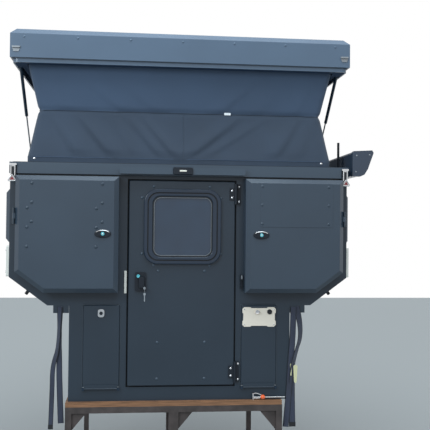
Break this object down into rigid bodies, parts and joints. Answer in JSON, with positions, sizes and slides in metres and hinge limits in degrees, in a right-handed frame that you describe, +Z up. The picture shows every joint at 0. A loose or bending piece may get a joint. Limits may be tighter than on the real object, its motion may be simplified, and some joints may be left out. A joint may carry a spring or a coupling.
{
  "type": "truck camper",
  "caption": "Pop-top truck camper with its roof raised on gas struts over canvas sides, rear door, corner lockers and side awning, standing on a steel and timber display stand.",
  "frame": {"origin": "underside of the stand's rear centre foot, in the camper's centre plane at the rear wall's outer face", "axes": "+X to the right seen from behind, +Y forward over the truck's cab, +Z up; the door faces -Y"},
  "size_m": [2.005, 3.0596, 2.675],
  "materials": {
    "shell_paint": "satin",
    "stand_steel": "matte",
    "deck_wood": "matte",
    "locker_ply": "matte",
    "black_plastic": "matte",
    "lamp_lens": "gloss",
    "cream_plate": "satin",
    "awning_case": "satin",
    "strut_black": "satin",
    "strut_rod": "polished",
    "fitting_steel": "satin",
    "hinge_black": "satin",
    "window_tint": "gloss",
    "canvas_cloth": "matte",
    "webbing": "matte"
  },
  "bodies": {
    "camper": {"awning_brackets": "black_plastic", "awning_cassette": "awning_case", "cabover_floor": "shell_paint", "cabover_front": "shell_paint", "canvas": "canvas_cloth", "door_catch": "black_plastic", "door_strike": "fitting_steel", "entry_lamp": "lamp_lens", "floor_panel": "shell_paint", "front_wall": "shell_paint", "hatch_hinge_blocks": "fitting_steel", "holddown_screw": "fitting_steel", "jack_brackets": "fitting_steel", "lid_hinges": "fitting_steel", "locker_boxes": "locker_ply", "lower_side_walls": "shell_paint", "rear_wall": "shell_paint", "side_hatch_hinges": "fitting_steel", "side_wall_left": "shell_paint", "side_wall_right": "shell_paint", "side_window_frames": "black_plastic", "side_window_panes": "window_tint", "sling_left_inner": "webbing", "sling_left_outer": "webbing", "sling_right_inner": "webbing", "sling_right_outer": "webbing", "stand_deck": "deck_wood", "stand_legs": "stand_steel", "stand_top_frame": "stand_steel", "strut_feet": "fitting_steel", "tiedown_brackets": "fitting_steel", "toggle_bases": "black_plastic", "toggle_latches": "fitting_steel", "top_rail": "shell_paint", "wall_hinge_leaves": "hinge_black", "wing_floors": "shell_paint"},
    "roof": {"roof_shell": "shell_paint", "canvas_track": "shell_paint", "roof_keepers": "fitting_steel", "strut_roof_brackets": "fitting_steel"},
    "door": {"door_panel": "shell_paint", "door_window_frame": "shell_paint", "door_window_pane": "window_tint", "door_lock": "black_plastic", "door_hinge_leaves": "hinge_black"},
    "locker_lid_left": {"locker_lid_left": "shell_paint", "locker_latch_left": "black_plastic"},
    "locker_lid_right": {"locker_lid_right": "shell_paint", "locker_latch_right": "black_plastic"},
    "hatch_left": {"hatch_left": "shell_paint", "hatch_ring_latch": "fitting_steel"},
    "hatch_right": {"hatch_right": "shell_paint", "hatch_plate": "cream_plate"},
    "side_hatch_left": {"side_hatch_left": "shell_paint"},
    "side_hatch_right": {"side_hatch_right": "shell_paint"},
    "rear_cylinders": {"rear_strut_cylinders": "strut_black"},
    "rear_rods": {"rear_strut_rods": "strut_rod"},
    "front_cylinders": {"front_strut_cylinders": "strut_black"},
    "front_rods": {"front_strut_rods": "strut_rod"}
  },
  "joints": [
    {"name": "roof_lift", "type": "slide", "parent": "camper", "child": "roof", "axis": [0, 0, 1], "range_m": [-0.525, 0], "deforming": ["canvas"]},
    {"name": "door_swing", "type": "hinge", "parent": "camper", "child": "door", "pos_m": [0.291, -0.019, 1.33], "axis": [0, 0, 1], "range_deg": [0, 90]},
    {"name": "locker_lid_left_swing", "type": "hinge", "parent": "camper", "child": "locker_lid_left", "pos_m": [-0.877, -0.08, 1.679], "axis": [0, 0, -1], "range_deg": [0, 90]},
    {"name": "locker_lid_right_swing", "type": "hinge", "parent": "camper", "child": "locker_lid_right", "pos_m": [0.877, -0.08, 1.679], "axis": [0, 0, 1], "range_deg": [0, 90]},
    {"name": "hatch_left_drop", "type": "hinge", "parent": "camper", "child": "hatch_left", "pos_m": [-0.424, -0.014, 0.768], "axis": [1, 0, 0], "range_deg": [0, 90]},
    {"name": "hatch_right_drop", "type": "hinge", "parent": "camper", "child": "hatch_right", "pos_m": [0.424, -0.014, 0.768], "axis": [1, 0, 0], "range_deg": [0, 90]},
    {"name": "side_hatch_left_lift", "type": "hinge", "parent": "camper", "child": "side_hatch_left", "pos_m": [-0.919, 0.246, 1.84], "axis": [0, 1, 0], "range_deg": [0, 90]},
    {"name": "side_hatch_right_lift", "type": "hinge", "parent": "camper", "child": "side_hatch_right", "pos_m": [0.919, 0.246, 1.84], "axis": [0, -1, 0], "range_deg": [0, 90]},
    {"name": "rear_strut_swing", "type": "hinge", "parent": "roof", "child": "rear_cylinders", "pos_m": [0, 0.114, 2.53], "axis": [1, 0, 0], "range_deg": [0, 42]},
    {"name": "rear_rod_slide", "type": "slide", "parent": "rear_cylinders", "child": "rear_rods", "axis": [0, 0.7191, -0.6949], "range_m": [-0.22004, 0]},
    {"name": "front_strut_swing", "type": "hinge", "parent": "roof", "child": "front_cylinders", "pos_m": [0, 2.786, 2.53], "axis": [-1, 0, 0], "range_deg": [0, 42]},
    {"name": "front_rod_slide", "type": "slide", "parent": "front_cylinders", "child": "front_rods", "axis": [0, -0.7191, -0.6949], "range_m": [-0.22004, 0]}
  ],
  "couplings": [
    {"joint": "rear_strut_swing", "follows": "roof_lift", "rad_per_m": -1.3959},
    {"joint": "rear_rod_slide", "follows": "roof_lift", "ratio": 0.41894},
    {"joint": "front_strut_swing", "follows": "roof_lift", "rad_per_m": -1.3959},
    {"joint": "front_rod_slide", "follows": "roof_lift", "ratio": 0.41894}
  ]
}
